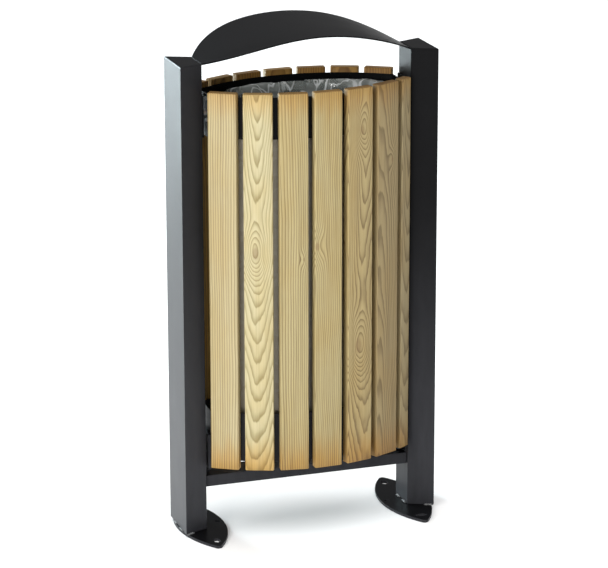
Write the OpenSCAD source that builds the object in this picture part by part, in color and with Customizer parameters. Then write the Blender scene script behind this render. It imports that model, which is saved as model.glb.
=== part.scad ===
// Litter bin: an oval basket of wooden slats hangs between two steel posts under an
// arched roof, and tips forward on two low pivots when its lock is opened.
// Units are millimetres. +Z is up, -Y is the front, and the floor is at Z = 0.

/* [Posts and feet] */
// Length of each post, from its foot plate to its top edge
post_len = 1000; // [850:10:1300]
// Clear width between the inner faces of the two posts
clear_w = 450; // [360:10:600]
// Depth of a post, across the bin's width
post_d = 52; // [40:1:80]
// Width of a post's inner face
post_inner_w = 72; // [66:1:90]
// Width of a post's outer face
post_outer_w = 118; // [100:1:140]
// Wall of the post tube
post_wall = 3; // [2:0.5:5]
// Thickness of the cap that closes a post
cap_t = 3; // [2:0.5:6]
// Thickness of a foot plate
foot_t = 6; // [4:1:10]
// Length of a foot plate, front to back
foot_len = 276; // [220:2:340]
// Width of a foot plate at its middle
foot_w = 100.8; // [90:0.2:130]
// Radius of a foot plate's two tips
foot_tip_r = 8; // [5:1:14]
// Reach of a foot plate past the outer face of its post
foot_lip = 2.5; // [1:0.5:10]
// Width of the anchor slots
anchor_slot_w = 14; // [8:1:18]
// Length of the anchor slots
anchor_slot_len = 22; // [18:1:30]
// Diameter of the middle anchor hole
anchor_hole_d = 12; // [8:1:16]

/* [Crossbar and roof] */
// Height of the crossbar's underside above the floor
bar_z = 98; // [60:2:140]
// Height of the crossbar's section
bar_h = 24; // [20:1:40]
// Width of the crossbar's section
bar_w = 60; // [50:2:66]
// Wall of the crossbar
bar_wall = 3; // [2:0.5:4]
// Rise of the roof above the posts
roof_rise = 60.6; // [40:0.2:100]
// Thickness of the roof sheet
roof_t = 3; // [2:0.5:5]
// Width of the roof at its middle, front to back
roof_w = 272.6; // [230:0.2:330]
// Width of the roof where it meets a post
roof_end_w = 70; // [50:1:72]
// How full the roof's outline is: 2 is a parabola, more is squarer
roof_fullness = 4; // [2:0.5:6]

/* [Basket] */
// Depth of the hoops, front to back, at the middle
hoop_depth = 209; // [180:1:260]
// Width of the hoops' flat ends
hoop_end_w = 65; // [50:1:70]
// Height of the steel band in the upper hoop
upper_hoop_h = 87; // [70:1:110]
// Height of the steel band in the lower hoop
lower_hoop_h = 105; // [60:1:120]
// Thickness of the hoops
hoop_t = 3; // [2:0.5:4]
// Gap between a hoop's flat end and the post
hoop_side_gap = 13; // [12:0.5:18]
// Height of the lower hoop's underside above the crossbar
lower_hoop_gap = 38; // [34:1:60]
// Depth of the upper hoop's top edge below the posts' tops
mouth_drop = 68; // [50:1:120]
// Wall of the liner
liner_wall = 1; // [0.8:0.1:3]
// Space between the hoops and the liner, front and back
liner_gap = 10; // [8:0.5:20]
// Space between the hoops' flat ends and the liner
liner_end_gap = 37; // [36:1:50]
// Depth of the liner's rim below the upper hoop's top edge
liner_drop = 38; // [34:1:60]
// Thickness of the floor plate
floor_t = 3; // [2:0.5:5]
// Diameter of the drain holes in the floor plate
drain_d = 12; // [6:1:20]
// Wall of the bag's stand-in shell
bag_wall = 1; // [0.6:0.1:2]

/* [Slats] */
// Slats in each of the two rows, the narrow one included
slats_per_row = 7; // [5:1:7]
// Width of a slat
slat_w = 60; // [44:1:62]
// Thickness of a slat
slat_t = 20; // [15:1:28]
// Width of the narrow slat that ends each row
end_slat_w = 30; // [24:1:40]
// Radius of the slats' long edges
slat_edge_r = 2; // [1:0.5:4]
// Reach of the slats above the upper hoop
slat_above = 11; // [4:1:30]
// Reach of the slats below the lower hoop
slat_below = 13; // [4:1:16]
// Radius of the slat screws' shanks
slat_screw_r = 2.5; // [2:0.25:3.5]
// Length of the slat screws below their heads
slat_screw_len = 17; // [10:1:20]
// Space between the slats' ends and the plates on the posts
slat_pass_gap = 2; // [1:0.5:5]

/* [Pivots] */
// Height of the pivot axis above the crossbar
pivot_rise = 18; // [18:0.5:22]
// Distance of the pivot axis in front of the middle
pivot_front = 10; // [6:1:14]
// Radius of the pivot pins
pivot_pin_r = 6; // [4:0.5:7]
// Thickness of the pivot lugs
lug_t = 7; // [4:0.5:7]
// Thickness of the plates on the posts
plate_t = 3; // [2:0.5:4]
// Radius of a pivot bush's body
bush_r = 9; // [8:0.5:11]
// Radius of a pivot bush's flange
bush_flange_r = 12; // [11:0.5:14]

/* [Lock and bag ring] */
// Radius of the lock bolt
bolt_r = 5.5; // [4:0.5:6]
// Travel of the lock bolt
bolt_travel = 18; // [16:1:18]
// Radius of the key spindle
spindle_r = 5; // [4:0.5:6]
// Height of the lock bolt's axis above the upper hoop's underside
bolt_rise = 51; // [45:1:55]
// Width of the bag ring's band
ring_w = 6; // [4:0.5:8]
// Height of the bag ring's band
ring_h = 8; // [6:0.5:10]
// Radius of the bag ring's hinge pin
ring_pin_r = 3; // [2:0.5:3]

/* [Clearances] */
// Radial clearance where a pin or bolt turns or slides in a bore
running_gap = 0.06; // [0.02:0.01:0.1]
// Clearance between flat or curved faces that meet
seat_gap = 0.3; // [0.1:0.1:0.5]
// Clearance of a screw in its hole
screw_gap = 0.05; // [0.02:0.01:0.3]

/* [Hidden] */
eps = 1;            // how far a cutter runs past the face that it cuts
round_fn = 360;     // facets that show on large round parts
small_fn = 32;      // facets that show on small round parts

// Heights
post_z = foot_t;
post_top = post_z + post_len;
bar_top = bar_z + bar_h;
lower_hoop_z = bar_top + lower_hoop_gap;
upper_hoop_top = post_top - mouth_drop;
upper_hoop_z = upper_hoop_top - upper_hoop_h;
floor_top = lower_hoop_z + floor_t;
liner_top = upper_hoop_top - liner_drop;
slat_z = lower_hoop_z - slat_below;
slat_len = upper_hoop_top + slat_above - slat_z;

// Post section: both faces lie across X, and its sides slope
post_x = clear_w / 2;
post_slope = atan((post_outer_w - post_inner_w) / 2 / post_d);

// Foot plate: two arcs of one radius that meet in round tips
foot_x = post_x + post_d + foot_lip - foot_w / 2;
foot_tip_y = foot_len / 2 - foot_tip_r;
foot_r = (pow(foot_tip_y, 2) + pow(foot_w / 2, 2) - pow(foot_tip_r, 2)) / (foot_w - 2 * foot_tip_r);
foot_tangent_y = foot_tip_y * foot_r / (foot_r - foot_tip_r);
anchor_slot_y = foot_len / 2 - 31.74;
rear_slot_x = foot_x - 4;
anchor_hole_x = foot_x - 38.5;

// Roof: an arc through both post tops
roof_r = (pow(post_x, 2) + pow(roof_rise, 2)) / 2 / roof_rise;
roof_centre_z = post_top + roof_rise - roof_r;
roof_steps = 30;

// Basket outline: two arcs of one radius, cut off by flat ends
hoop_end_x = post_x - hoop_side_gap;
hoop_sag = (hoop_depth - hoop_end_w) / 2;
hoop_r = (pow(hoop_end_x, 2) + pow(hoop_sag, 2)) / 2 / hoop_sag;
arc_y = hoop_r - hoop_depth / 2;
liner_r = hoop_r - hoop_t - liner_gap;
liner_end_x = hoop_end_x - hoop_t - liner_end_gap;
bag_r = liner_r - liner_wall - seat_gap;
bag_end_x = liner_end_x - liner_wall - seat_gap;

// Slats: flat boards on the hoops' arcs, spread evenly between the row's two ends
slat_back_gap = 0.1; // from a slat's flat back to the hoop's curve
slat_seat_r = hoop_r + slat_back_gap;
slat_face_r = slat_seat_r + slat_t;
row_x = post_x - plate_t - slat_pass_gap;
function end_angle(w) = asin(row_x / norm([slat_face_r, w / 2])) - atan(w / 2 / slat_face_r);
first_angle = -end_angle(slat_w);
last_angle = end_angle(end_slat_w);
row_arc = slat_face_r * (last_angle - first_angle) * PI / 180;
slat_gap = (row_arc - (slats_per_row - 1.5) * slat_w - end_slat_w / 2) / (slats_per_row - 1);
slat_pitch = (slat_w + slat_gap) / slat_face_r * 180 / PI;
function slat_angle(i) = i < slats_per_row ? first_angle + (i - 1) * slat_pitch : last_angle;
function slat_width(i) = i < slats_per_row ? slat_w : end_slat_w;
screw_levels = [lower_hoop_z + lower_hoop_h / 2, upper_hoop_z + upper_hoop_h / 4];
screw_head_r = 2 * slat_screw_r;
screw_head_t = 2.5;

// Pivots: a lug on each flat end turns on a pin in the post
pivot_y = -pivot_front;
pivot_z = bar_top + pivot_rise;
lug_x = hoop_end_x;
lug_top = lower_hoop_z + lower_hoop_h / 2;
lug_boss_r = pivot_rise - 2;    // leaves 2 mm over the crossbar
lug_stop = 45;      // tilt at which the lug's front corner meets the crossbar
lug_reach = 24;     // distance of that corner in front of the pivot axis
lug_inset = 2;      // from the flat end's edges to the lug
lug_corner_z = -(pivot_rise - seat_gap - lug_reach * sin(lug_stop)) / cos(lug_stop);
lug_heel_y = [14, 34];  // the heel's reach behind the pivot axis
pin_head_r = 10;
pin_head_t = 4;
pin_end_x = post_x + post_wall + 3; // 3 mm past the wall

// Plates on the posts' inner faces
plate_x = post_x - plate_t;
plate_rise = 2;     // of a plate above the hoop's underside or the crossbar
upper_plate_z = upper_hoop_z + plate_rise;
pivot_plate_z = bar_top + plate_rise;
pivot_plate_h = 50;

// Lock, on the inside of the upper hoop's left end
bolt_edge_gap = 10.5;   // from the flat end's front edge to the bolt's axis
bolt_reach = 6;         // of the thrown bolt past the post's wall
bolt_tail = 2.3;        // of the bolt behind its slot
bolt_y = bolt_edge_gap - hoop_end_w / 2;
bolt_z = upper_hoop_z + bolt_rise;
bolt_tip_x = -(post_x + post_wall + bolt_reach);
crank_r = bolt_travel / 2 / sin(45);
crank_pin_r = 2;
crank_rim = 0.2;        // of the crank disc round its pin
crank_disc_r = crank_r + crank_pin_r + crank_rim;
crank_t = 4;
crank_lift = 0.7;       // of the crank disc above the bolt
crank_z = bolt_z + bolt_r + crank_lift;
spindle_x = -(hoop_end_x - hoop_t - crank_disc_r - 2.1);
spindle_y = bolt_y + crank_r * (1 + cos(45)) / 2;
crank_slot_w = 2 * crank_pin_r + 1.4;
crank_slot_x = spindle_x - bolt_travel / 2;
bolt_tail_x = crank_slot_x + crank_slot_w / 2 + bolt_tail;
bolt_slot_z = bolt_z - 3.5;
case_wall = 2;
case_bearing_h = 14;    // height of the case above its hollow, where the spindle turns
case_flange_h = 10;
case_screw_inset = 5;
case_back_x = -(hoop_end_x - hoop_t);
case_front_x = case_back_x + 2 * crank_disc_r + 5;
case_y = [spindle_y - crank_disc_r - 4, spindle_y + crank_disc_r + 3.5];
case_cavity_z = [bolt_z - bolt_r - 2.5, crank_z + crank_t + 0.8];
case_z = [case_cavity_z[0] - case_wall, case_cavity_z[1] + case_bearing_h];
flange_z = [case_z[0] - case_flange_h, case_z[1] + case_flange_h];
case_screw_r = 2;
case_screw_head_t = 2.2;
case_screw_ys = [case_y[0] + case_screw_inset, case_y[1] - case_screw_inset];
case_screw_zs = [flange_z[0] + case_screw_inset, flange_z[1] - case_screw_inset];
key_neck_h = 2;         // of the spindle above the case
key_head_h = 9;

// Bag ring, on the liner's rim
ring_r = liner_r + ring_w / 2;
ring_end_x = liner_end_x;
ring_z = liner_top + seat_gap;
ring_knuckle_r = 5;
ring_hinge_z = ring_z + ring_h + ring_knuckle_r + 0.2;
ring_hinge_inset = 0.5; // of the hinge axis from the ring's outer edge
ring_hinge_y = ring_r - arc_y - ring_hinge_inset;
ring_knuckle_w = 23.4;
ring_ear_w = 8;
ring_ear_x = ring_knuckle_w / 2 + seat_gap;

SLATS = [for (row = ["front", "rear"]) for (i = [1:slats_per_row]) str(row, "_slat_", i)];

powder_black = [0.11, 0.11, 0.12];
zinc = [0.72, 0.73, 0.72];
pine = [0.78, 0.69, 0.50];
liner_brown = [0.36, 0.32, 0.26];
film_grey = [0.80, 0.82, 0.84];
nylon_white = [0.88, 0.87, 0.83];

// Puts a right-hand piece on the left when side is -1
module on_side(side) {
    if (side < 0) mirror([1, 0, 0]) children();
    else children();
}

// A cylinder along X between two places
module rod_x(r, x0, x1, y, z) {
    translate([x0, y, z]) rotate([0, 90, 0]) cylinder(r = r, h = x1 - x0, $fn = small_fn);
}

// The basket's oval outline, cut off by flat ends
module oval(r, end_x, h) {
    intersection() {
        translate([0, arc_y, 0]) cylinder(r = r, h = h, $fn = round_fn);
        translate([0, -arc_y, 0]) cylinder(r = r, h = h, $fn = round_fn);
        translate([-end_x, -r, 0]) cube([2 * end_x, 2 * r, h]);
    }
}

module oval_band(r, end_x, wall, h) {
    difference() {
        oval(r, end_x, h);
        translate([0, 0, -eps]) oval(r - wall, end_x - wall, h + 2 * eps);
    }
}

// Plan of a post, or of its hollow when it is drawn in by an inset
module post_plan(inset) {
    near = post_x + inset;
    far = post_x + post_d - inset;
    side = inset / cos(post_slope);
    near_y = post_inner_w / 2 + inset * tan(post_slope) - side;
    far_y = post_outer_w / 2 - inset * tan(post_slope) - side;
    polygon([[near, -near_y], [far, -far_y], [far, far_y], [near, near_y]]);
}

module post(side) {
    color(powder_black)
    on_side(side) difference() {
        translate([0, 0, post_z]) linear_extrude(post_len) post_plan(0);
        translate([0, 0, post_z - eps]) linear_extrude(post_len + 2 * eps) post_plan(post_wall);
        rod_x(bush_r, post_x - eps, post_x + post_wall + eps, pivot_y, pivot_z);
        if (side < 0) rod_x(bolt_r + seat_gap, post_x - eps, post_x + post_wall + eps, bolt_y, bolt_z);
    }
}

module post_cap(side) {
    color(powder_black)
    on_side(side) translate([0, 0, post_top - cap_t]) linear_extrude(cap_t) post_plan(post_wall);
}

module foot_outline() {
    intersection() {
        translate([foot_r - foot_w / 2, 0, 0]) cylinder(r = foot_r, h = foot_t, $fn = round_fn);
        translate([foot_w / 2 - foot_r, 0, 0]) cylinder(r = foot_r, h = foot_t, $fn = round_fn);
        translate([-foot_w, -foot_tangent_y, 0]) cube([2 * foot_w, 2 * foot_tangent_y, foot_t]);
    }
    for (y = [-foot_tip_y, foot_tip_y]) {
        translate([0, y, 0]) cylinder(r = foot_tip_r, h = foot_t, $fn = small_fn);
    }
}

// A round-ended slot through a foot plate, along X or along Y
module anchor_slot(along_x) {
    reach = (anchor_slot_len - anchor_slot_w) / 2;
    turn = along_x ? 0 : 90;
    rotate([0, 0, turn]) {
        for (x = [-reach, reach]) {
            translate([x, 0, -eps]) cylinder(d = anchor_slot_w, h = foot_t + 2 * eps, $fn = small_fn);
        }
        translate([-reach, -anchor_slot_w / 2, -eps]) cube([2 * reach, anchor_slot_w, foot_t + 2 * eps]);
    }
}

// The two foot plates are one shape, the left one turned half round
module foot_plate(side) {
    color(powder_black)
    rotate([0, 0, side < 0 ? 180 : 0]) difference() {
        translate([foot_x, 0, 0]) foot_outline();
        translate([foot_x, -anchor_slot_y, 0]) anchor_slot(true);
        translate([rear_slot_x, anchor_slot_y, 0]) anchor_slot(false);
        translate([anchor_hole_x, 0, -eps]) cylinder(d = anchor_hole_d, h = foot_t + 2 * eps, $fn = small_fn);
    }
}

function roof_half(x) =
    roof_end_w / 2 + (roof_w - roof_end_w) / 2 * (1 - pow(abs(x) / post_x, roof_fullness));

module roof() {
    xs = [for (i = [-roof_steps:roof_steps]) post_x * sin(90 * i / roof_steps)];
    front = [for (x = xs) [x, -roof_half(x)]];
    rear = [for (i = [len(xs) - 1:-1:0]) [xs[i], roof_half(xs[i])]];
    color(powder_black)
    intersection() {
        translate([0, roof_w, roof_centre_z]) rotate([90, 0, 0]) difference() {
            cylinder(r = roof_r, h = 2 * roof_w, $fn = round_fn);
            translate([0, 0, -eps]) cylinder(r = roof_r - roof_t, h = 2 * roof_w + 2 * eps, $fn = round_fn);
        }
        translate([0, 0, post_top - 4 * roof_t]) linear_extrude(roof_rise + 5 * roof_t)
            polygon(concat(front, rear));
    }
}

module crossbar() {
    color(powder_black)
    difference() {
        translate([-post_x, -bar_w / 2, bar_z]) cube([2 * post_x, bar_w, bar_h]);
        translate([-post_x - eps, bar_wall - bar_w / 2, bar_z + bar_wall])
            cube([2 * post_x + 2 * eps, bar_w - 2 * bar_wall, bar_h - 2 * bar_wall]);
    }
}

// Plate beside the upper hoop: the left one takes the lock bolt
module upper_plate(side) {
    color(powder_black)
    on_side(side) difference() {
        translate([plate_x, -post_inner_w / 2, upper_plate_z]) cube([plate_t, post_inner_w, upper_hoop_h]);
        if (side < 0) rod_x(bolt_r + seat_gap, plate_x - eps, post_x + eps, bolt_y, bolt_z);
    }
}

module pivot_plate(side) {
    color(powder_black)
    on_side(side) difference() {
        translate([plate_x, -bar_w / 2, pivot_plate_z]) cube([plate_t, bar_w, pivot_plate_h]);
        rod_x(bush_r, plate_x - eps, post_x + eps, pivot_y, pivot_z);
    }
}

module pivot_bush(side) {
    color(nylon_white)
    on_side(side) difference() {
        union() {
            rod_x(bush_flange_r, lug_x + lug_t + seat_gap, plate_x, pivot_y, pivot_z);
            rod_x(bush_r, plate_x, post_x + post_wall + 1, pivot_y, pivot_z);
        }
        rod_x(pivot_pin_r + running_gap, lug_x, pin_end_x, pivot_y, pivot_z);
    }
}

// Outline of a lug seen along X: a heel behind the pivot holds the basket upright, and
// the corner in front of the pivot stops its tilt
module pivot_lug(side) {
    heel_z = seat_gap - pivot_rise;
    color(powder_black)
    on_side(side) difference() {
        union() {
            translate([lug_x, 0, 0]) rotate([90, 0, 90]) linear_extrude(lug_t) polygon([
                [lug_inset - hoop_end_w / 2, lug_top],
                [pivot_y - lug_reach, pivot_z + lug_corner_z],
                [pivot_y, pivot_z - lug_boss_r + 2],
                [pivot_y + lug_heel_y[0], pivot_z + heel_z],
                [pivot_y + lug_heel_y[1], pivot_z + heel_z],
                [hoop_end_w / 2 - lug_inset, lower_hoop_z],
                [hoop_end_w / 2 - lug_inset, lug_top]
            ]);
            rod_x(lug_boss_r, lug_x, lug_x + lug_t, pivot_y, pivot_z);
        }
        rod_x(pivot_pin_r, lug_x - eps, lug_x + lug_t + eps, pivot_y, pivot_z);
    }
}

module pivot_pin(side) {
    color(zinc)
    on_side(side) {
        rod_x(pin_head_r, lug_x - pin_head_t, lug_x, pivot_y, pivot_z);
        rod_x(pivot_pin_r, lug_x, pin_end_x, pivot_y, pivot_z);
    }
}

// Places its children at every slat screw, with +Y pointing out of the basket
module at_slat_screws(row, i) {
    rotate([0, 0, row == "rear" ? 180 : 0]) translate([0, arc_y, 0]) rotate([0, 0, slat_angle(i)])
        for (z = screw_levels) translate([0, 0, z]) rotate([90, 0, 0]) children();
}

// A hole from inside a hoop to a depth beyond the hoop's outer face
module screw_hole(r, depth) {
    translate([0, 0, hoop_r - hoop_t - eps]) cylinder(r = r, h = hoop_t + eps + depth, $fn = small_fn);
}

module slat(row, i) {
    w = slat_width(i);
    r = slat_edge_r;
    color(pine)
    difference() {
        rotate([0, 0, row == "rear" ? 180 : 0]) translate([0, arc_y, slat_z]) rotate([0, 0, slat_angle(i)]) {
            translate([-w / 2 + r, -slat_face_r, 0]) cube([w - 2 * r, slat_t, slat_len]);
            translate([-w / 2, -slat_face_r + r, 0]) cube([w, slat_t - 2 * r, slat_len]);
            for (x = [r - w / 2, w / 2 - r]) for (y = [r - slat_face_r, -slat_seat_r - r]) {
                translate([x, y, 0]) cylinder(r = r, h = slat_len, $fn = small_fn);
            }
        }
        at_slat_screws(row, i) screw_hole(slat_screw_r, slat_screw_len - hoop_t);
    }
}

module slat_screws() {
    under_head = hoop_r - hoop_t - 0.2;
    color(zinc)
    for (row = ["front", "rear"]) for (i = [1:slats_per_row]) at_slat_screws(row, i) {
        translate([0, 0, under_head - screw_head_t])
            cylinder(r1 = screw_head_r * 0.7, r2 = screw_head_r, h = screw_head_t, $fn = small_fn);
        translate([0, 0, under_head]) cylinder(r = slat_screw_r, h = slat_screw_len, $fn = small_fn);
    }
}

module hoop(z, h) {
    difference() {
        translate([0, 0, z]) oval_band(hoop_r, hoop_end_x, hoop_t, h);
        for (row = ["front", "rear"]) for (i = [1:slats_per_row]) at_slat_screws(row, i) {
            screw_hole(slat_screw_r + screw_gap, eps);
        }
    }
}

module case_screw_holes() {
    for (y = case_screw_ys) for (z = case_screw_zs) {
        rod_x(case_screw_r + screw_gap, -hoop_end_x - eps, case_back_x + case_wall + 2 * eps, y, z);
    }
}

module upper_hoop() {
    color(powder_black)
    difference() {
        hoop(upper_hoop_z, upper_hoop_h);
        rod_x(bolt_r + running_gap, -hoop_end_x - eps, case_back_x + eps, bolt_y, bolt_z);
        case_screw_holes();
    }
}

module lower_hoop() {
    color(powder_black) hoop(lower_hoop_z, lower_hoop_h);
}

module floor_plate() {
    drain_x = hoop_end_x / 3;
    color(zinc)
    difference() {
        translate([0, 0, lower_hoop_z])
            oval(hoop_r - hoop_t - screw_gap, hoop_end_x - hoop_t - screw_gap, floor_t);
        for (x = [-drain_x, 0, drain_x]) {
            translate([x, 0, lower_hoop_z - eps]) cylinder(d = drain_d, h = floor_t + 2 * eps, $fn = small_fn);
        }
    }
}

module liner() {
    color(liner_brown)
    translate([0, 0, floor_top]) oval_band(liner_r, liner_end_x, liner_wall, liner_top - floor_top);
}

module bag() {
    bag_h = liner_top - floor_top - 2 * seat_gap;
    color(film_grey)
    translate([0, 0, floor_top + seat_gap]) difference() {
        oval(bag_r, bag_end_x, bag_h);
        translate([0, 0, bag_wall]) oval(bag_r - bag_wall, bag_end_x - bag_wall, bag_h);
    }
}

// Ring band with the knuckle of its hinge at the rear
module bag_ring() {
    color(powder_black)
    difference() {
        union() {
            translate([0, 0, ring_z]) oval_band(ring_r, ring_end_x, ring_w, ring_h);
            translate([-ring_knuckle_w / 2, ring_r - arc_y - ring_w, ring_z])
                cube([ring_knuckle_w, ring_w - ring_hinge_inset, ring_hinge_z - ring_z]);
            rod_x(ring_knuckle_r, -ring_knuckle_w / 2, ring_knuckle_w / 2, ring_hinge_y, ring_hinge_z);
        }
        rod_x(ring_pin_r + running_gap, -ring_knuckle_w, ring_knuckle_w, ring_hinge_y, ring_hinge_z);
    }
}

// Two ears that reach in from the upper hoop and carry the ring's hinge pin
module ring_hinge_bracket() {
    ear_r = ring_knuckle_r - 0.1;
    color(powder_black)
    intersection() {
        union() for (side = [-1, 1]) on_side(side) difference() {
            union() {
                rod_x(ear_r, ring_ear_x, ring_ear_x + ring_ear_w, ring_hinge_y, ring_hinge_z);
                translate([ring_ear_x, ring_hinge_y, ring_hinge_z - ear_r + 0.2])
                    cube([ring_ear_w, hoop_depth / 2 - ring_hinge_y, 2 * ear_r - 0.2]);
            }
            rod_x(ring_pin_r, ring_ear_x - eps, ring_ear_x + ring_ear_w + eps, ring_hinge_y, ring_hinge_z);
        }
        translate([0, 0, liner_top]) oval(hoop_r - hoop_t - screw_gap, hoop_end_x - hoop_t, liner_drop);
    }
}

module ring_hinge_pin() {
    reach = ring_ear_x + ring_ear_w;
    color(zinc) rod_x(ring_pin_r, -reach, reach, ring_hinge_y, ring_hinge_z);
}

// Box with an open back that screws to the hoop's flat end
module lock_case() {
    color(zinc)
    difference() {
        union() {
            translate([case_back_x, case_y[0], case_z[0]])
                cube([case_front_x - case_back_x, case_y[1] - case_y[0], case_z[1] - case_z[0]]);
            translate([case_back_x, case_y[0], flange_z[0]])
                cube([case_wall, case_y[1] - case_y[0], flange_z[1] - flange_z[0]]);
        }
        translate([case_back_x - eps, case_y[0] + case_wall, case_cavity_z[0]])
            cube([case_front_x - case_back_x - case_wall + eps,
                  case_y[1] - case_y[0] - 2 * case_wall, case_cavity_z[1] - case_cavity_z[0]]);
        translate([spindle_x, spindle_y, case_cavity_z[1] - eps])
            cylinder(r = spindle_r + running_gap, h = case_z[1], $fn = small_fn);
        case_screw_holes();
    }
}

module lock_case_screws() {
    color(zinc)
    for (y = case_screw_ys) for (z = case_screw_zs) {
        rod_x(2 * case_screw_r, -hoop_end_x - case_screw_head_t, -hoop_end_x, y, z);
        rod_x(case_screw_r, -hoop_end_x, case_back_x + case_wall + 1.5, y, z);
    }
}

// Three-sided key head, shaft, crank disc and the pin that drives the bolt
module key_spindle() {
    color(zinc)
    translate([spindle_x, spindle_y, 0]) {
        translate([0, 0, crank_z]) cylinder(r = crank_disc_r, h = crank_t, $fn = small_fn);
        translate([0, 0, crank_z])
            cylinder(r = spindle_r, h = case_z[1] + key_neck_h - crank_z, $fn = small_fn);
        translate([0, 0, case_z[1] + key_neck_h]) cylinder(r = spindle_r, h = key_head_h, $fn = 3);
        rotate([0, 0, -135]) translate([crank_r, 0, bolt_slot_z + 0.5])
            cylinder(r = crank_pin_r, h = crank_z + 1 - bolt_slot_z, $fn = small_fn);
    }
}

module lock_bolt() {
    color(zinc)
    difference() {
        rod_x(bolt_r, bolt_tip_x, bolt_tail_x, bolt_y, bolt_z);
        translate([crank_slot_x - crank_slot_w / 2, bolt_y - bolt_r - eps, bolt_slot_z])
            cube([crank_slot_w, 2 * bolt_r + 2 * eps, 2 * bolt_r]);
    }
}

post(-1);  // left_post
post(1);  // right_post
post_cap(-1);  // left_post_cap
post_cap(1);  // right_post_cap
foot_plate(-1);  // left_foot_plate
foot_plate(1);  // right_foot_plate
roof();
crossbar();
upper_plate(-1);  // left_keeper_plate
upper_plate(1);  // right_guide_plate
pivot_plate(-1);  // left_pivot_plate
pivot_plate(1);  // right_pivot_plate
pivot_bush(-1);  // left_pivot_bush
pivot_bush(1);  // right_pivot_bush
upper_hoop();
lower_hoop();
liner();
floor_plate();
slat_screws();
pivot_lug(-1);  // left_pivot_lug
pivot_lug(1);  // right_pivot_lug
pivot_pin(-1);  // left_pivot_pin
pivot_pin(1);  // right_pivot_pin
lock_case();
lock_case_screws();
ring_hinge_bracket();
ring_hinge_pin();
bag();
key_spindle();
lock_bolt();
bag_ring();
for (row = ["front", "rear"]) for (i = [1:slats_per_row]) {
    slat(row, i);
}
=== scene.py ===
"""Litter bin: slatted basket between two black posts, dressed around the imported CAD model."""

import math

import bmesh
import bpy
from mathutils import Matrix, Vector, noise


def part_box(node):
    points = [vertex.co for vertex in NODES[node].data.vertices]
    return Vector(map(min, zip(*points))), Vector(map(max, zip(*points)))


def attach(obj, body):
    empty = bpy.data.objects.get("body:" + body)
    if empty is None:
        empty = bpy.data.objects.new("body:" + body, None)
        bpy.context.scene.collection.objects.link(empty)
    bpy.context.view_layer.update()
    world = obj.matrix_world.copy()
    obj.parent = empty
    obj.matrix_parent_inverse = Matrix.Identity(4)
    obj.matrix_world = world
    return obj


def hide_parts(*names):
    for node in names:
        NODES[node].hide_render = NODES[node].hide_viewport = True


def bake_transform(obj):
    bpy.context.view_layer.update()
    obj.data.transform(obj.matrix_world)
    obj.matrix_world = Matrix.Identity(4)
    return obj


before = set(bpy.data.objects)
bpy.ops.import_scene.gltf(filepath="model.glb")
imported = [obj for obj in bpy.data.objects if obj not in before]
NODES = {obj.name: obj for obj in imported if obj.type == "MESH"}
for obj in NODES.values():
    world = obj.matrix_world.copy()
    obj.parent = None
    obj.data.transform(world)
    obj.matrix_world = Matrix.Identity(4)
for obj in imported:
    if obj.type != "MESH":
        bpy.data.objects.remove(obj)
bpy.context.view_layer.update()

# ---------------------------------------------------------------- camera, floor and light

CAMERA_PLACE = Vector((-1.968, -5.818, 2.346))
CAMERA_TURN = math.radians(18.72)    # to the right of +Y
CAMERA_DIP = math.radians(16.63)     # below the horizon
CAMERA_ROLL = math.radians(0.1)
SENSOR = 36.0
FOCAL = 181.5
LIGHT_AIM = Vector((0, 0, 0.5))
WORLD_LIGHT = 0.20


def make_camera():
    data = bpy.data.cameras.new("camera")
    data.sensor_width = SENSOR
    data.lens = FOCAL
    data.clip_end = 60
    camera = bpy.data.objects.new("camera", data)
    camera.location = CAMERA_PLACE
    aim = Matrix.Rotation(-CAMERA_TURN, 4, "Z") @ Matrix.Rotation(math.pi / 2 - CAMERA_DIP, 4, "X")
    camera.rotation_euler = (aim @ Matrix.Rotation(-CAMERA_ROLL, 4, "Z")).to_euler()
    bpy.context.scene.collection.objects.link(camera)
    bpy.context.scene.camera = camera


def make_light(name, place, size, power, colour):
    data = bpy.data.lights.new(name, "AREA")
    data.shape = "RECTANGLE"
    data.size, data.size_y = size
    data.energy = power
    data.color = colour
    lamp = bpy.data.objects.new(name, data)
    lamp.location = place
    lamp.rotation_euler = (LIGHT_AIM - Vector(place)).to_track_quat("-Z", "Y").to_euler()
    bpy.context.scene.collection.objects.link(lamp)


def make_sun(name, strength, spread):
    data = bpy.data.lights.new(name, "SUN")
    data.energy = strength
    data.angle = math.radians(spread)
    lamp = bpy.data.objects.new(name, data)
    bpy.context.scene.collection.objects.link(lamp)


# ---------------------------------------------------------------- node helpers


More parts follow.
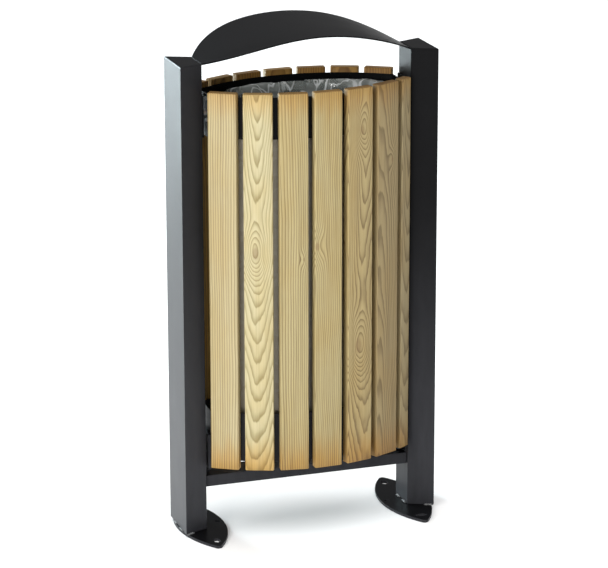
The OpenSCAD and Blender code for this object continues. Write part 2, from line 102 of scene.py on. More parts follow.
class Shader:
    """A material whose nodes are added by name, with links or plain values as inputs."""

    def __init__(self, name):
        self.material = bpy.data.materials.new(name)
        self.material.use_nodes = True
        self.tree = self.material.node_tree
        self.surface = self.tree.nodes["Principled BSDF"]

    def node(self, kind, values=None, **settings):
        made = self.tree.nodes.new("ShaderNode" + kind)
        for key, value in settings.items():
            setattr(made, key, value)
        for key, value in (values or {}).items():
            self.put(made.inputs[key], value)
        return made

    def put(self, socket, value):
        if isinstance(value, bpy.types.NodeSocket):
            self.tree.links.new(value, socket)
        else:
            socket.default_value = value

    def math(self, operation, a, b=0.0):
        made = self.node("Math", operation=operation)
        for socket, value in zip(made.inputs, (a, b)):
            self.put(socket, value)
        return made.outputs[0]

    def noise(self, vector, scale, detail=3.0, rough=0.55, distortion=0.0):
        return self.node("TexNoise", {"Vector": vector, "Scale": scale, "Detail": detail,
                                      "Roughness": rough, "Distortion": distortion}).outputs["Fac"]

    def stretch(self, vector, scale, shift=(0, 0, 0)):
        return self.node("Mapping", {"Vector": vector, "Scale": scale, "Location": shift}).outputs[0]

    def ramp(self, factor, stops, interpolation="LINEAR"):
        made = self.node("ValToRGB", {"Fac": factor})
        made.color_ramp.interpolation = interpolation
        points = made.color_ramp.elements
        while len(points) < len(stops):
            points.new(0.5)
        for point, (place, colour) in zip(points, stops):
            point.position = place
            point.color = (*colour, 1) if len(colour) == 3 else colour
        return made.outputs[0]

    def mix(self, factor, a, b, blend="MIX"):
        made = self.node("Mix", data_type="RGBA", blend_type=blend)
        self.put(made.inputs[0], factor)
        self.put(made.inputs[6], a)
        self.put(made.inputs[7], b)
        return made.outputs[2]

    def smooth(self, value, low, high):
        made = self.node("MapRange", {"Value": value, "From Min": low, "From Max": high},
                         interpolation_type="SMOOTHSTEP")
        return made.outputs[0]

    def bump(self, height, strength, distance):
        return self.node("Bump", {"Height": height, "Strength": strength, "Distance": distance}).outputs[0]

    def finish(self, **sockets):
        for key, value in sockets.items():
            self.put(self.surface.inputs[key.replace("_", " ")], value)
        return self.material


def object_point(shader):
    return shader.node("TexCoord").outputs["Object"]


# ---------------------------------------------------------------- materials


def powder_coat(name, sheen, lit_copy_gain=1.0):
    """Near-black satin powder coat: orange peel, cloudy patches, and a lighter tone low on upright faces,
    partly dust and partly painted bounce light from the floor. The last argument multiplies the base
    colour to make a lit copy of the coat, which is painted light.
    """
    s = Shader(name)
    place = s.node("TexCoord")
    point = place.outputs["Object"]
    peel = s.noise(point, 520, 2, 0.6)
    patch = s.noise(point, 7, 4, 0.6)
    # the gain lightens both tones, for a lit copy of the coat: painted light
    thin = tuple(lit_copy_gain * c for c in (0.0034, 0.0034, 0.0040))
    thick = tuple(lit_copy_gain * c for c in (0.0056, 0.0056, 0.0064))
    base = s.ramp(patch, [(0.3, thin), (0.7, thick)])
    height = s.node("SeparateXYZ", {"Vector": point}).outputs[2]
    facing_up = s.math("ABSOLUTE", s.node("SeparateXYZ", {"Vector": place.outputs["Normal"]}).outputs[2])
    splash = s.noise(s.stretch(point, (26, 26, 5)), 1.0, 5, 0.65)
    # lighter towards the bottom on upright faces only: partly dust, partly painted bounce light from the
    # floor
    dust_and_floor_light = s.math("MULTIPLY", s.smooth(height, 0.75, 0.10), s.math("ADD", 0.35, splash))
    dust_and_floor_light = s.math("MULTIPLY", dust_and_floor_light, s.smooth(facing_up, 0.8, 0.4))
    base = s.mix(s.math("MULTIPLY", dust_and_floor_light, 0.70), base, (0.050, 0.051, 0.058, 1))
    grime = s.smooth(splash, 0.62, 0.85)
    base = s.mix(s.math("MULTIPLY", grime, 0.08), base, (0.06, 0.058, 0.055, 1))
    rough = s.math("ADD", 0.27, s.math("MULTIPLY", patch, 0.12))
    return s.finish(Base_Color=base, Roughness=rough, Specular_IOR_Level=sheen,
                    Normal=s.bump(peel, 0.10, 0.0004))


def zinc_plate():
    """Zinc plating: a faint crystal spangle, fine brushing and cloudy dull patches."""
    s = Shader("zinc_plate")
    point = object_point(s)
    spangle = s.node("TexVoronoi", {"Vector": point, "Scale": 260.0}).outputs["Color"]
    cloud = s.noise(point, 40, 4, 0.6)
    base = s.mix(0.12, s.ramp(cloud, [(0.3, (0.46, 0.47, 0.47)), (0.75, (0.66, 0.67, 0.66))]), spangle)
    rough = s.math("ADD", 0.26, s.math("MULTIPLY", cloud, 0.25))
    scratch = s.noise(s.stretch(point, (900, 90, 900)), 1.0, 2)
    return s.finish(Base_Color=base, Metallic=1.0, Roughness=rough, Normal=s.bump(scratch, 0.1, 0.0002))


def liner_coat():
    """Galvanised sheet: a worn spangle under a dull brown-grey tone that is painted bounce light from the
    wooden slats, with run marks, and painted shade darker towards the bottom.
    """
    s = Shader("liner_coat")
    point = object_point(s)
    spangle = s.node("TexVoronoi", {"Vector": point, "Scale": 95.0}).outputs["Color"]
    grey = s.node("RGBToBW", {"Color": spangle}).outputs[0]
    runs = s.noise(s.stretch(point, (55, 55, 2.2)), 1.0, 5, 0.6)
    cloud = s.noise(point, 9, 5, 0.6)
    # the brown-grey tone is painted bounce light from the wooden slats on the grey sheet
    base = s.ramp(s.math("ADD", s.math("MULTIPLY", runs, 0.5), s.math("MULTIPLY", cloud, 0.5)),
                  [(0.3, (0.27, 0.235, 0.175)), (0.5, (0.36, 0.315, 0.24)), (0.72, (0.43, 0.385, 0.31))])
    base = s.mix(0.22, base, s.mix(grey, (0.28, 0.27, 0.24, 1), (0.60, 0.60, 0.56, 1)))
    # darker towards the bottom of the liner: painted shade deep inside the bin
    height = s.node("SeparateXYZ", {"Vector": point}).outputs[2]
    base = s.mix(s.math("MULTIPLY", s.smooth(height, 0.50, 0.20), 0.35), base, (0.20, 0.17, 0.13, 1))
    grit = s.noise(point, 700, 2)
    rough = s.math("ADD", 0.38, s.math("MULTIPLY", cloud, 0.2))
    return s.finish(Base_Color=base, Roughness=rough, Metallic=0.55, Normal=s.bump(grit, 0.15, 0.0003))


def white_nylon():
    s = Shader("white_nylon")
    point = object_point(s)
    cloud = s.noise(point, 60, 3)
    base = s.ramp(cloud, [(0.3, (0.56, 0.54, 0.48)), (0.7, (0.68, 0.66, 0.60))])
    return s.finish(Base_Color=base, Roughness=0.5, Normal=s.bump(s.noise(point, 900, 2), 0.1, 0.0002))


def crease(s, point, turn, scale, distortion, edge, middle):
    """Thin winding lines, 1 along their middle and 0 past their edge, where a noise crosses one half."""
    place = s.node("Mapping", {"Vector": point, "Rotation": turn, "Scale": scale}).outputs[0]
    away = s.math("ABSOLUTE", s.math("SUBTRACT", s.noise(place, 1.0, 2, 0.45, distortion), 0.5))
    return s.smooth(away, edge, middle)


def bag_film():
    """Thin clear film: glossy and see-through where flat, with milky patches and painted white highlights
    along creases, both painted fainter on the left as painted shade.
    """
    s = Shader("bag_film")
    point = object_point(s)
    long = crease(s, point, (0.35, 0.6, 0.2), (15, 15, 6), 0.7, 0.034, 0.004)
    fine = crease(s, point, (-0.5, -0.7, 0.9), (25, 25, 9), 0.5, 0.028, 0.003)
    milk = s.smooth(s.noise(point, 9, 3, 0.55, 0.3), 0.42, 0.70)
    # highlights and milkiness fade towards the left end: painted shade there
    side = s.smooth(s.node("SeparateXYZ", {"Vector": point}).outputs[0], -0.17, -0.02)
    left_shade_scale = s.math("ADD", 0.50, s.math("MULTIPLY", side, 0.50))
    # creases are drawn near-white and nearly opaque: painted highlights
    white = s.math("MULTIPLY", s.math("MAXIMUM", long, s.math("MULTIPLY", fine, 0.8)), left_shade_scale)
    milk = s.math("MULTIPLY", milk, left_shade_scale)
    cover = s.math("ADD", s.math("MULTIPLY", white, 0.90), s.math("MULTIPLY", milk, 0.55))
    alpha = s.math("ADD", 0.33, cover)
    # the base colour goes near-white along the painted highlights
    base = s.mix(s.math("MAXIMUM", white, s.math("MULTIPLY", milk, 0.7)), (0.60, 0.65, 0.62, 1),
                 (0.96, 0.98, 1.0, 1))
    small = s.math("ADD", s.math("MULTIPLY", fine, 0.5), milk)
    bumps = s.math("ADD", s.math("MULTIPLY", long, 0.8), small)
    return s.finish(Base_Color=base, Roughness=0.12, Specular_IOR_Level=1.0, Alpha=alpha,
                    Normal=s.bump(bumps, 0.5, 0.0016))


def weld_metal():
    """Coated weld bead that has rubbed and dulled to grey."""
    s = Shader("weld_metal")
    point = object_point(s)
    worn = s.noise(point, 320, 3, 0.6)
    base = s.ramp(worn, [(0.35, (0.05, 0.052, 0.055)), (0.65, (0.22, 0.225, 0.23))])
    return s.finish(Base_Color=base, Roughness=0.34, Specular_IOR_Level=0.6,
                    Normal=s.bump(worn, 0.3, 0.0005))


# Each board's wood: light and dark tones, where the log's heart lies behind the face (across
# and deep, in metres), how much the board runs off the heart's line, the growth ring's width,
# and knots as (across, height, size).
PALE = ((0.52, 0.445, 0.255), (0.18, 0.125, 0.050))
WHEAT = ((0.49, 0.410, 0.210), (0.15, 0.100, 0.034))
STRAW = ((0.57, 0.510, 0.310), (0.26, 0.210, 0.085))
HONEY = ((0.44, 0.345, 0.160), (0.15, 0.095, 0.034))
# OLIVE_PARTLY_SHADED and DUSKY_PARTLY_SHADED are only on front slats 6 and 7, which face away from the
# key: their darkness is partly the boards' own tone, partly painted shade
OLIVE_PARTLY_SHADED = ((0.34, 0.260, 0.125), (0.14, 0.094, 0.038))
DUSKY_PARTLY_SHADED = ((0.34, 0.275, 0.150), (0.15, 0.108, 0.050))

SLAT_LEN = (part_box("front_slat_1")[1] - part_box("front_slat_1")[0]).z
END_GRAIN = 0.0009       # height of the band at each end that shows end grain
END_FULL = 0.0001        # height below which it shows in full
INNER_FACE = -0.0196     # depth of a slat's inner face behind its outer one, with its fade
INNER_FADE = 0.0011


def tint(s, amount, colour, stain):
    """The colour with a stain multiplied in, by amount."""
    return s.mix(amount, colour, s.mix(1.0, colour, (*stain, 1), "MULTIPLY"))


def slat_wood(name, tones, heart, drift, ring, knots, seed, twist):
    """Softwood board: growth rings cut by the board's face, knots, wet ends and fine fibre."""
    s = Shader(name)
    board = s.node("Attribute", attribute_name="board").outputs["Vector"]
    across, deep, along = s.node("SeparateXYZ", {"Vector": board}).outputs
    shift = (seed * 3.7, seed * 1.9, seed * 0.83)
    sway = s.math("SUBTRACT", s.noise(s.stretch(board, (9, 9, 2.4), shift), 1.0, 2, 0.5), 0.5)
    wave = s.math("SUBTRACT", s.noise(s.stretch(board, (34, 34, 9), shift), 1.0, 3, 0.55), 0.5)
    x = s.math("ADD", s.math("SUBTRACT", across, heart[0]), s.math("MULTIPLY", sway, 0.034 * twist))
    run = s.math("MULTIPLY", along, drift)
    y = s.math("ADD", s.math("ADD", s.math("SUBTRACT", deep, heart[1]), run),
               s.math("MULTIPLY", wave, 0.0042 * twist))
    radius = s.math("SQRT", s.math("ADD", s.math("MULTIPLY", x, x), s.math("MULTIPLY", y, y)))
    core = None
    for across_at, height, size in knots:
        u = s.math("DIVIDE", s.math("SUBTRACT", across, across_at), size)
        v = s.math("DIVIDE", s.math("SUBTRACT", along, height), size * 2.1)
        far = s.math("SQRT", s.math("ADD", s.math("MULTIPLY", u, u), s.math("MULTIPLY", v, v)))
        pull = s.math("EXPONENT", s.math("MULTIPLY", s.math("MULTIPLY", far, far), -0.22))
        radius = s.math("SUBTRACT", radius, s.math("MULTIPLY", pull, size * 1.5))
        heartwood = s.smooth(far, 0.75, 0.30)
        core = heartwood if core is None else s.math("MAXIMUM", core, heartwood)
    phase = s.math("FRACT", s.math("DIVIDE", radius, ring))
    late = s.ramp(phase, [(0.0, (0, 0, 0)), (0.50, (0.10, 0.10, 0.10)), (0.80, (1, 1, 1)),
                          (0.90, (1, 1, 1)), (0.96, (0.05, 0.05, 0.05)), (1.0, (0, 0, 0))], "B_SPLINE")
    season = s.noise(s.stretch(board, (60, 60, 1.5), shift), 1.0, 2)
    late = s.math("MULTIPLY", late, s.math("ADD", 0.35, season))
    fibre = s.noise(s.stretch(board, (1500, 1500, 26), shift), 1.0, 3, 0.6)
    streak = s.noise(s.stretch(board, (190, 190, 3.0), shift), 1.0, 3, 0.6)
    cloud = s.noise(s.stretch(board, (16, 16, 5), shift), 1.0, 3, 0.6)
    light, dark = ((*tone, 1) for tone in tones)
    colour = s.mix(s.math("MULTIPLY", late, 0.95), light, dark)
    colour = s.mix(s.smooth(streak, 0.45, 0.8), colour, s.mix(0.45, colour, dark))
    clouded = s.mix(0.75, colour, (0.95, 0.86, 0.68, 1), "MULTIPLY")
    colour = s.mix(s.smooth(cloud, 0.35, 0.75), colour, clouded)
    colour = s.mix(s.math("MULTIPLY", s.smooth(fibre, 0.4, 0.75), 0.16), colour, dark)
    if core is not None:
        colour = s.mix(s.math("MULTIPLY", core, 0.42), colour, (0.17, 0.085, 0.03, 1))
    edge_noise = s.noise(s.stretch(board, (60, 60, 8), shift), 1.0, 2)
    ragged = s.math("MULTIPLY", s.math("SUBTRACT", edge_noise, 0.5), 0.07)
    end_near = s.math("ADD", along, ragged)
    top = s.smooth(end_near, 0.735, 0.800)
    foot = s.smooth(end_near, 0.085, 0.0)
    wet = s.math("MAXIMUM", s.math("MULTIPLY", top, 0.75), foot)
    colour = tint(s, wet, colour, (0.96, 0.72, 0.40))
    # the inner face is tinted darker and more orange: painted shade inside the basket, with a warm cast of
    # light bounced from the wood around it
    inner = s.smooth(deep, INNER_FACE + INNER_FADE, INNER_FACE)
    colour = tint(s, s.math("MULTIPLY", inner, 0.8), colour, (1.0, 0.76, 0.38))
    low_end = s.smooth(along, END_GRAIN, END_FULL)
    high_end = s.smooth(along, SLAT_LEN - END_GRAIN, SLAT_LEN - END_FULL)
    end = s.math("MAXIMUM", low_end, high_end)
    colour = tint(s, s.math("MULTIPLY", end, 0.75), colour, (0.80, 0.62, 0.40))
    grain = s.math("ADD", s.math("MULTIPLY", late, -0.5), fibre)
    return s.finish(Base_Color=colour, Roughness=s.math("ADD", 0.52, s.math("MULTIPLY", fibre, 0.2)),
                    Normal=s.bump(grain, 0.25, 0.0006))


# ---------------------------------------------------------------- mesh helpers


def add_piece(name, mesh, material, body, smooth=True):
    obj = bpy.data.objects.new(name, mesh)
    bpy.context.scene.collection.objects.link(obj)
    mesh.materials.append(material)
    for face in mesh.polygons:
        face.use_smooth = smooth
    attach(obj, body)
    return obj


def loft(rings, closed_ends=True):
    """A bmesh through closed rings of the same number of points."""
    bm = bmesh.new()
    rows = [[bm.verts.new(p) for p in ring] for ring in rings]
    count = len(rings[0])
    for a, b in zip(rows, rows[1:]):
        for i in range(count):
            j = (i + 1) % count
            bm.faces.new((a[i], a[j], b[j], b[i]))
    if closed_ends:
        bm.faces.new(rows[0][::-1])
        bm.faces.new(rows[-1])
    bmesh.ops.recalc_face_normals(bm, faces=bm.faces)
    return bm


def to_mesh(bm, name):
    mesh = bpy.data.meshes.new(name)
    bm.to_mesh(mesh)
    bm.free()
    return mesh


# ---------------------------------------------------------------- wooden slats


def board_frame(node):
    """Centre, the direction across, the direction out of the basket, and the sizes of a slat."""
    low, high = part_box(node)
    ends = [v.co for v in NODES[node].data.vertices if v.co.z > high.z - 0.0005]
    points = [(p.x, p.y) for p in ends]
    centre = Vector(((low.x + high.x) / 2, (low.y + high.y) / 2, 0))
    xx = sum((x - centre.x) ** 2 for x, y in points)
    yy = sum((y - centre.y) ** 2 for x, y in points)
    xy = sum((x - centre.x) * (y - centre.y) for x, y in points)
    turn = math.atan2(2 * xy, xx - yy) / 2
    across = Vector((math.cos(turn), math.sin(turn), 0))
    outward = Vector((across.y, -across.x, 0))
    if outward.dot(centre) < 0:
        outward = -outward
    across = Vector((-outward.y, outward.x, 0))
    width = 2 * max(abs((Vector((x, y, 0)) - centre).dot(across)) for x, y in points)
    thick = 2 * max(abs((Vector((x, y, 0)) - centre).dot(outward)) for x, y in points)
    return centre, across, outward, width, thick, low.z, high.z


EDGE_EASE = 0.0028       # radius of the boards' long edges
END_EASE = 0.0012        # chamfer round the boards' ends
EASE_STEPS = 4
BOARD_RINGS = 40
DENT = 0.00035           # depth of the planed faces' unevenness


def board_section(width, thick, inset):
    """Rounded rectangle: x across, y out of the basket."""
    points = []
    r = EDGE_EASE
    w, t = width / 2 - inset, thick / 2 - inset
    for sx, sy, start in ((1, 1, 0), (-1, 1, 90), (-1, -1, 180), (1, -1, 270)):
        for k in range(EASE_STEPS + 1):
            a = math.radians(start + 90 * k / EASE_STEPS)
            points.append((sx * (w - r) + r * math.cos(a), sy * (t - r) + r * math.sin(a)))
    return points


def make_slat(node, material, seed):
    centre, across, outward, width, thick, z0, z1 = board_frame(node)
    levels = [(z0, END_EASE), (z0 + END_EASE, 0)]
    span = z1 - z0 - 2 * END_EASE
    levels += [(z0 + END_EASE + span * k / BOARD_RINGS, 0) for k in range(1, BOARD_RINGS)]
    levels += [(z1 - END_EASE, 0), (z1, END_EASE)]
    rings, local = [], []
    for z, inset in levels:
        ring = []
        for x, y in board_section(width, thick, inset):
            dent = DENT * noise.noise(Vector((x * 40 + seed, y * 40, z * 9)))
            x2 = x * (1 - abs(dent) / (width / 2))
            y2 = y * (1 - abs(dent) / (thick / 2) * 1.5)
            ring.append(centre + across * x2 + outward * y2 + Vector((0, 0, z)))
            local.append((x, y - thick / 2, z - z0))
        rings.append(ring)
    mesh = to_mesh(loft(rings), node + "_board")
    board = mesh.attributes.new("board", "FLOAT_VECTOR", "POINT")
    board.data.foreach_set("vector", [c for p in local for c in p])
    piece = add_piece(node + "_board", mesh, material, "basket", smooth=False)
    for face in mesh.polygons:
        face.use_smooth = abs(face.normal.z) < 0.3
    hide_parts(node)
    return piece


# node: tones, heart, drift, ring, knots, seed, twist
WOODS = {
    "front_slat_1": (PALE, (0.085, -0.060), 0.004, 0.0040, (), 1, 0.6),
    "front_slat_2": (STRAW, (0.000, -0.082), -0.070, 0.0030, ((-0.006, 0.470, 0.012),), 2, 1.1),
    "front_slat_3": (WHEAT, (-0.060, -0.050), 0.010, 0.0036, ((0.020, 0.455, 0.004),), 3, 0.5),
    "front_slat_4": (WHEAT, (0.070, -0.040), 0.012, 0.0036, ((-0.025, 0.480, 0.008),), 4, 0.8),
    "front_slat_5": (HONEY, (0.010, -0.060), -0.048, 0.0030,
                     ((0.004, 0.715, 0.009), (-0.004, 0.255, 0.014)), 5, 1.5),
    "front_slat_6": (OLIVE_PARTLY_SHADED, (-0.022, -0.028), 0.040, 0.0032, ((0.012, 0.640, 0.005),), 6, 1.2),
    "front_slat_7": (DUSKY_PARTLY_SHADED, (0.006, -0.060), -0.045, 0.0030, (), 7, 1.2),
    "rear_slat_1": (HONEY, (0.060, -0.050), 0.008, 0.0052, (), 8, 0.7),
    "rear_slat_2": (PALE, (-0.004, -0.036), 0.046, 0.0060, ((0.010, 0.300, 0.009),), 9, 1.0),
    "rear_slat_3": (HONEY, (-0.075, -0.040), 0.010, 0.0048, (), 10, 0.6),
    "rear_slat_4": (PALE, (0.004, -0.032), 0.038, 0.0056, ((-0.010, 0.560, 0.011),), 11, 1.2),
    "rear_slat_5": (HONEY, (0.055, -0.045), 0.012, 0.0050, ((0.018, 0.640, 0.005),), 12, 0.8),
    "rear_slat_6": (PALE, (0.000, -0.030), 0.034, 0.0054, ((0.006, 0.150, 0.008),), 13, 1.1),
    "rear_slat_7": (HONEY, (0.020, -0.040), 0.010, 0.0050, (), 14, 0.8),
}


# ---------------------------------------------------------------- basket outline and bag film

HOOP_LOW, HOOP_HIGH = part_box("upper_hoop")
RING_LOW, RING_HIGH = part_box("bag_ring")
LINER_LOW, LINER_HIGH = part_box("liner")
HALF_DEPTH = HOOP_HIGH.y
END_X = HOOP_HIGH.x
END_FLAT = max(v.co.y for v in NODES["upper_hoop"].data.vertices if v.co.x > END_X - 1e-5)
SAG = HALF_DEPTH - END_FLAT
ARC_R = (END_X ** 2 + SAG ** 2) / 2 / SAG
ARC_Y = ARC_R - HALF_DEPTH
CORNER = 0.022          # length along X in which the outline turns the corner at an end
BAND = 0.0075           # width of the ring's band and a little air
FILM_LEFT_X = RING_LOW.x + BAND         # the film stops short of the lock on the left
FILM_RIGHT_X = END_X - 0.008            # and lies over the ring and the gap beside it on the right


def oval_point(turn, inset, left, right):
    """Point on the basket's outline drawn in by an inset, for a turn from 0 to 1."""
    r = ARC_R - inset
    a = 2 * math.pi * turn
    c, s = math.cos(a), math.sin(a)
    x_end = right if c > 0 else left
    x = x_end * abs(c) ** 0.72
    edge = math.sqrt(r * r - x * x) - ARC_Y
    flat = abs(s) ** 0.55
    fade = min(1.0, (abs(x_end) - abs(x)) / CORNER)
    y = edge * min(1.0, flat * 1.25) if fade < 1 else edge
    return Vector((x, math.copysign(y, s), 0))


FILM_AROUND = 420
# Profile of the film from its hem, over the bag ring and down the liner: inset from the
# hoop's outer face, height, and the shares of the full billow and crumple
RIM = HOOP_HIGH.z
FILM_PROFILE = [
    (0.0062, RIM - 0.0300, 0.0, 0.0),
    (0.0056, RIM - 0.0170, 0.0, 0.2),
    (0.0070, RIM - 0.0125, 0.0, 0.4),
    (0.0125, RIM - 0.0105, 0.2, 0.6),
    (0.0175, RIM - 0.0150, 0.4, 0.7),
    (0.0195, RIM - 0.0300, 0.8, 0.8),
    (0.0200, RIM - 0.0600, 1.0, 1.0),
    (0.0200, RIM - 0.1200, 1.0, 1.0),
    (0.0200, RIM - 0.2500, 0.9, 1.0),
    (0.0190, RIM - 0.4500, 0.7, 0.9),
    (0.0190, RIM - 0.6400, 0.5, 0.8),
    (0.0210, RIM - 0.7200, 0.3, 0.5),
    (0.0300, LINER_LOW.z + 0.0085, 0.2, 0.3),
    (0.0600, LINER_LOW.z + 0.0050, 0.0, 0.2),
]
                        # it bulged out through the front slats
FILM_STEPS = 9          # rings between two rows of the profile
BILLOW = 0.022          # greatest reach of a fold into the bag
CRUMPLE = 0.0032
CRUMPLE_LIFT = 0.0035   # the same up and down
RIM_DEPTH = 0.02        # part of the film round the rim, which stands a little higher in front
RIM_LIFT = 0.0055
HINGE_HALF_W = 0.036    # half the width of the ring's hinge, where the film stays inside the ring
INSIDE_RING = 0.0186    # inset at which the film is clear of the ring's inner edge
OVER_RING = 0.0110      # change of inset from there to the far side of the ring


def ridged(place, octaves=3):
    """Noise with sharp ridges, for crumples."""
    total, size, weight = 0.0, 1.0, 0.5
    for _ in range(octaves):
        total += weight * (1 - 2 * abs(noise.noise(place * size)))
        size *= 2.1
        weight *= 0.5
    return total


def catmull_rom(a, b, c, d, t):
    square = (2 * a - 5 * b + 4 * c - d) * t * t
    cube = (3 * b - a - 3 * c + d) * t ** 3
    return 0.5 * (2 * b + (c - a) * t + square + cube)


def smooth_rows(rows, steps):
    """Catmull-Rom through the rows of the profile."""
    made = []
    for i in range(len(rows) - 1):
        p = [rows[max(i - 1, 0)], rows[i], rows[i + 1], rows[min(i + 2, len(rows) - 1)]]
        for k in range(steps):
            t = k / steps
            made.append(tuple(catmull_rom(a, b, c, d, t) for a, b, c, d in zip(*p)))
    return made + [rows[-1]]


def make_film(material):
    """The bag's film, from its hem over the ring and down the liner, and its area."""
    rings = []
    for inset, z, billow, crumple in smooth_rows(FILM_PROFILE, FILM_STEPS):
        ring = []
        over = min(1.0, max(0.0, (INSIDE_RING - inset) / OVER_RING))
        right = (RING_HIGH.x - BAND) * (1 - over) + (FILM_RIGHT_X - inset) * over
        for k in range(FILM_AROUND):
            turn = k / FILM_AROUND
            p = oval_point(turn, inset, FILM_LEFT_X, right)
            if p.y > 0 and abs(p.x) < HINGE_HALF_W and inset < INSIDE_RING:
                p = oval_point(turn, INSIDE_RING, FILM_LEFT_X, right)
            inward = Vector((-p.x * 0.35, -p.y, 0)).normalized()
            fold = noise.noise(Vector((p.x * 15 + z * 6, p.y * 15, z * 3.0)))
            swell = noise.noise(Vector((p.x * 7 + 5, p.y * 7, z * 8)))
            sharp = ridged(Vector((p.x * 26 - z * 14, p.y * 26, z * 12)))
            push = BILLOW * billow * max(0.0, 0.42 + 0.9 * fold + 0.5 * swell)
            push += CRUMPLE * crumple * max(0.0, 0.45 + sharp)
            lift = CRUMPLE_LIFT * crumple * noise.noise(Vector((p.x * 35, p.y * 35 + 9, z * 8)))
            if z > RIM - RIM_DEPTH:
                lift += RIM_LIFT * max(0.0, -p.y / HALF_DEPTH) * (0.4 + abs(sharp))
            ring.append(p + inward * push + Vector((0, 0, z + lift)))
        rings.append(ring)
    bm = loft(rings, closed_ends=False)
    mesh = to_mesh(bm, "bag_film")
    area = sum(f.area for f in mesh.polygons)
    piece = bpy.data.objects.new("bag_film", mesh)
    bpy.context.scene.collection.objects.link(piece)
    mesh.materials.append(material)
    for face in mesh.polygons:
        face.use_smooth = True
    return piece, area


# ---------------------------------------------------------------- weld beads at the posts' feet

WELD_R = 0.0030
SLIM_WELD_R = 0.0017    # on a post's outer face, so the bead stays short of the foot plate's edge
WELD_LENGTH = 0.020
WELD_RINGS = 26
WELD_SIDES = 10
BACKWARD = Vector((0, 1, 0))
RIPPLE = 0.0048         # distance between a bead's ripples
RIPPLE_DEPTH = 0.14     # share of the bead's radius
OUTER_BEAD_Y = 0.022    # from the post's middle to each bead on its outer face
INNER_BEAD_Y = 0.018


def add_bead(bm, start, along, outward, radius=WELD_R):
    """A short rippled bead in the corner between a post's face and its foot plate."""
    rows = []
    for k in range(WELD_RINGS + 1):
        t = k / WELD_RINGS
        swell = max(0.02, 1 - abs(2 * t - 1) ** 5) ** 0.5
        ripple = math.cos(2 * math.pi * t * WELD_LENGTH / RIPPLE)
        r = radius * swell * (1 + RIPPLE_DEPTH * ripple)
        centre = start + along * (WELD_LENGTH * t) + outward * (radius * 0.25)
        row = []
        for i in range(WELD_SIDES):
            a = 2 * math.pi * i / WELD_SIDES
            rise = Vector((0, 0, r * max(math.sin(a), -0.05)))
            row.append(bm.verts.new(centre + outward * (r * math.cos(a)) + rise))
        rows.append(row)
    for a, b in zip(rows, rows[1:]):
        for i in range(WELD_SIDES):
            j = (i + 1) % WELD_SIDES
            bm.faces.new((a[i], a[j], b[j], b[i]))
    bm.faces.new(rows[0][::-1])
    bm.faces.new(rows[-1])


def make_welds(post, material):
    """Short beads round a post's foot: one on each sloping side, two outside and two inside."""
    low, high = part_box(post)
    side = 1 if low.x > 0 else -1
    far_x, near_x = (high.x, low.x) if side > 0 else (low.x, high.x)
    near_y = max(v.co.y for v in NODES[post].data.vertices if abs(v.co.x - near_x) < 1e-5)
    bm = bmesh.new()
    for face in (-1, 1):
        corner = Vector((far_x, face * high.y, low.z))
        slope = (Vector((near_x, face * near_y, low.z)) - corner).normalized()
        outward = Vector((-slope.y * side * face, slope.x * side * face, 0))
        if outward.y * face < 0:
            outward = -outward
        add_bead(bm, corner + slope * 0.0015, slope, outward)
        outer = Vector((far_x, face * OUTER_BEAD_Y - WELD_LENGTH / 2, low.z))
        add_bead(bm, outer, BACKWARD, Vector((side, 0, 0)), SLIM_WELD_R)
        inner = Vector((near_x, face * INNER_BEAD_Y - WELD_LENGTH / 2, low.z))
        add_bead(bm, inner, BACKWARD, Vector((-side, 0, 0)))
    bmesh.ops.recalc_face_normals(bm, faces=bm.faces)
    piece = add_piece(post + "_welds", to_mesh(bm, post + "_welds"), material, "frame")


# ---------------------------------------------------------------- build

make_camera()

bpy.ops.mesh.primitive_plane_add(size=40, location=(0, 0, 0))
floor = bpy.context.object
floor.name = "studio_floor"
pale = Shader("studio_floor")
floor.data.materials.append(pale.finish(Base_Color=(0.93, 0.93, 0.93, 1), Roughness=0.9))

world = bpy.data.worlds.new("studio")
bpy.context.scene.world = world
world.use_nodes = True
world.node_tree.nodes["Background"].inputs["Color"].default_value = (1, 1, 1, 1)
world.node_tree.nodes["Background"].inputs["Strength"].default_value = WORLD_LIGHT
bpy.context.scene.view_settings.view_transform = "Standard"

make_light("key", (-4.4, -3.6, 1.9), (2.6, 2.2), 215, (1.0, 0.985, 0.96))
make_light("back_left", (-2.2, 4.6, 1.5), (1.2, 2.6), 285, (0.80, 0.95, 1.0))
make_sun("overhead", 3.2, 80)

COAT = powder_coat("black_powder_coat", sheen=0.07)
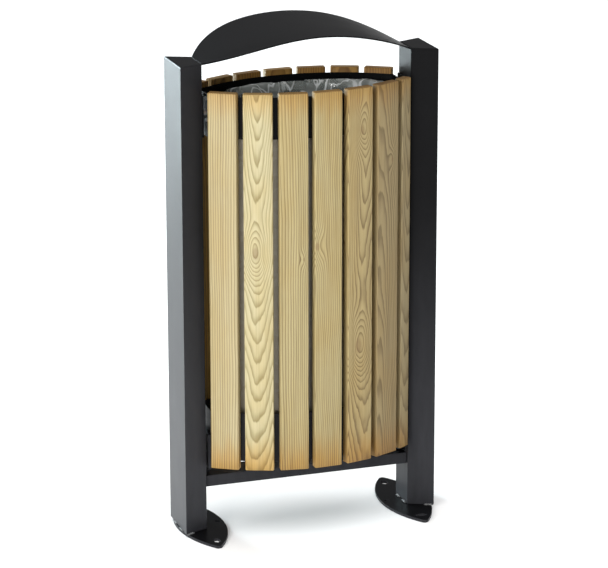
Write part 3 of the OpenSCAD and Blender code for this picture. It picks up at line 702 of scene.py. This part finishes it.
# the left post's coat is a lit copy of the others: base colour painted three times lighter, with more
# sheen
LIT_COPY_COAT = powder_coat("lit_copy_powder_coat", sheen=0.15, lit_copy_gain=3.0)
ZINC = zinc_plate()
CAD_FINISH = {
    LIT_COPY_COAT: ["left_post"],
    COAT: ["right_post", "left_post_cap", "right_post_cap", "left_foot_plate",
           "right_foot_plate", "roof", "crossbar", "left_keeper_plate", "right_guide_plate",
           "left_pivot_plate", "right_pivot_plate", "upper_hoop", "lower_hoop", "left_pivot_lug",
           "right_pivot_lug", "ring_hinge_bracket", "bag_ring"],
    ZINC: ["slat_screws", "left_pivot_pin", "right_pivot_pin", "lock_case", "lock_case_screws",
           "ring_hinge_pin", "floor_plate", "key_spindle", "lock_bolt"],
    liner_coat(): ["liner"],
    white_nylon(): ["left_pivot_bush", "right_pivot_bush"],
}
# how far each CAD node's edges are rounded
EASED = {"left_post": 0.0016, "right_post": 0.0016, "crossbar": 0.0016,
         "left_foot_plate": 0.0010, "right_foot_plate": 0.0010, "roof": 0.0008,
         "upper_hoop": 0.0006, "lower_hoop": 0.0006,
         "left_keeper_plate": 0.0006, "right_guide_plate": 0.0006}


def ease_edges(obj, width):
    """Weld, bevel and even out the shading of a CAD node, so that its edges catch light."""
    weld = obj.modifiers.new("weld", "WELD")
    weld.merge_threshold = 0.00001
    bevel = obj.modifiers.new("ease", "BEVEL")
    bevel.width = width
    bevel.segments = 3
    bevel.limit_method = "ANGLE"
    bevel.angle_limit = math.radians(40)
    bevel.harden_normals = True
    even = obj.modifiers.new("even", "WEIGHTED_NORMAL")
    even.keep_sharp = True


for finish, names in CAD_FINISH.items():
    for name in names:
        obj = NODES[name]
        obj.data.materials.clear()
        obj.data.materials.append(finish)
        if name in EASED:
            ease_edges(obj, EASED[name])

for node, spec in WOODS.items():
    seed = spec[5]
    make_slat(node, slat_wood("wood_" + node, *spec), seed)

film, film_area = make_film(bag_film())
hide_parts("bag")
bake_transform(film)

weld = weld_metal()
for post in ("left_post", "right_post"):
    make_welds(post, weld)

print("film area", round(film_area, 4))
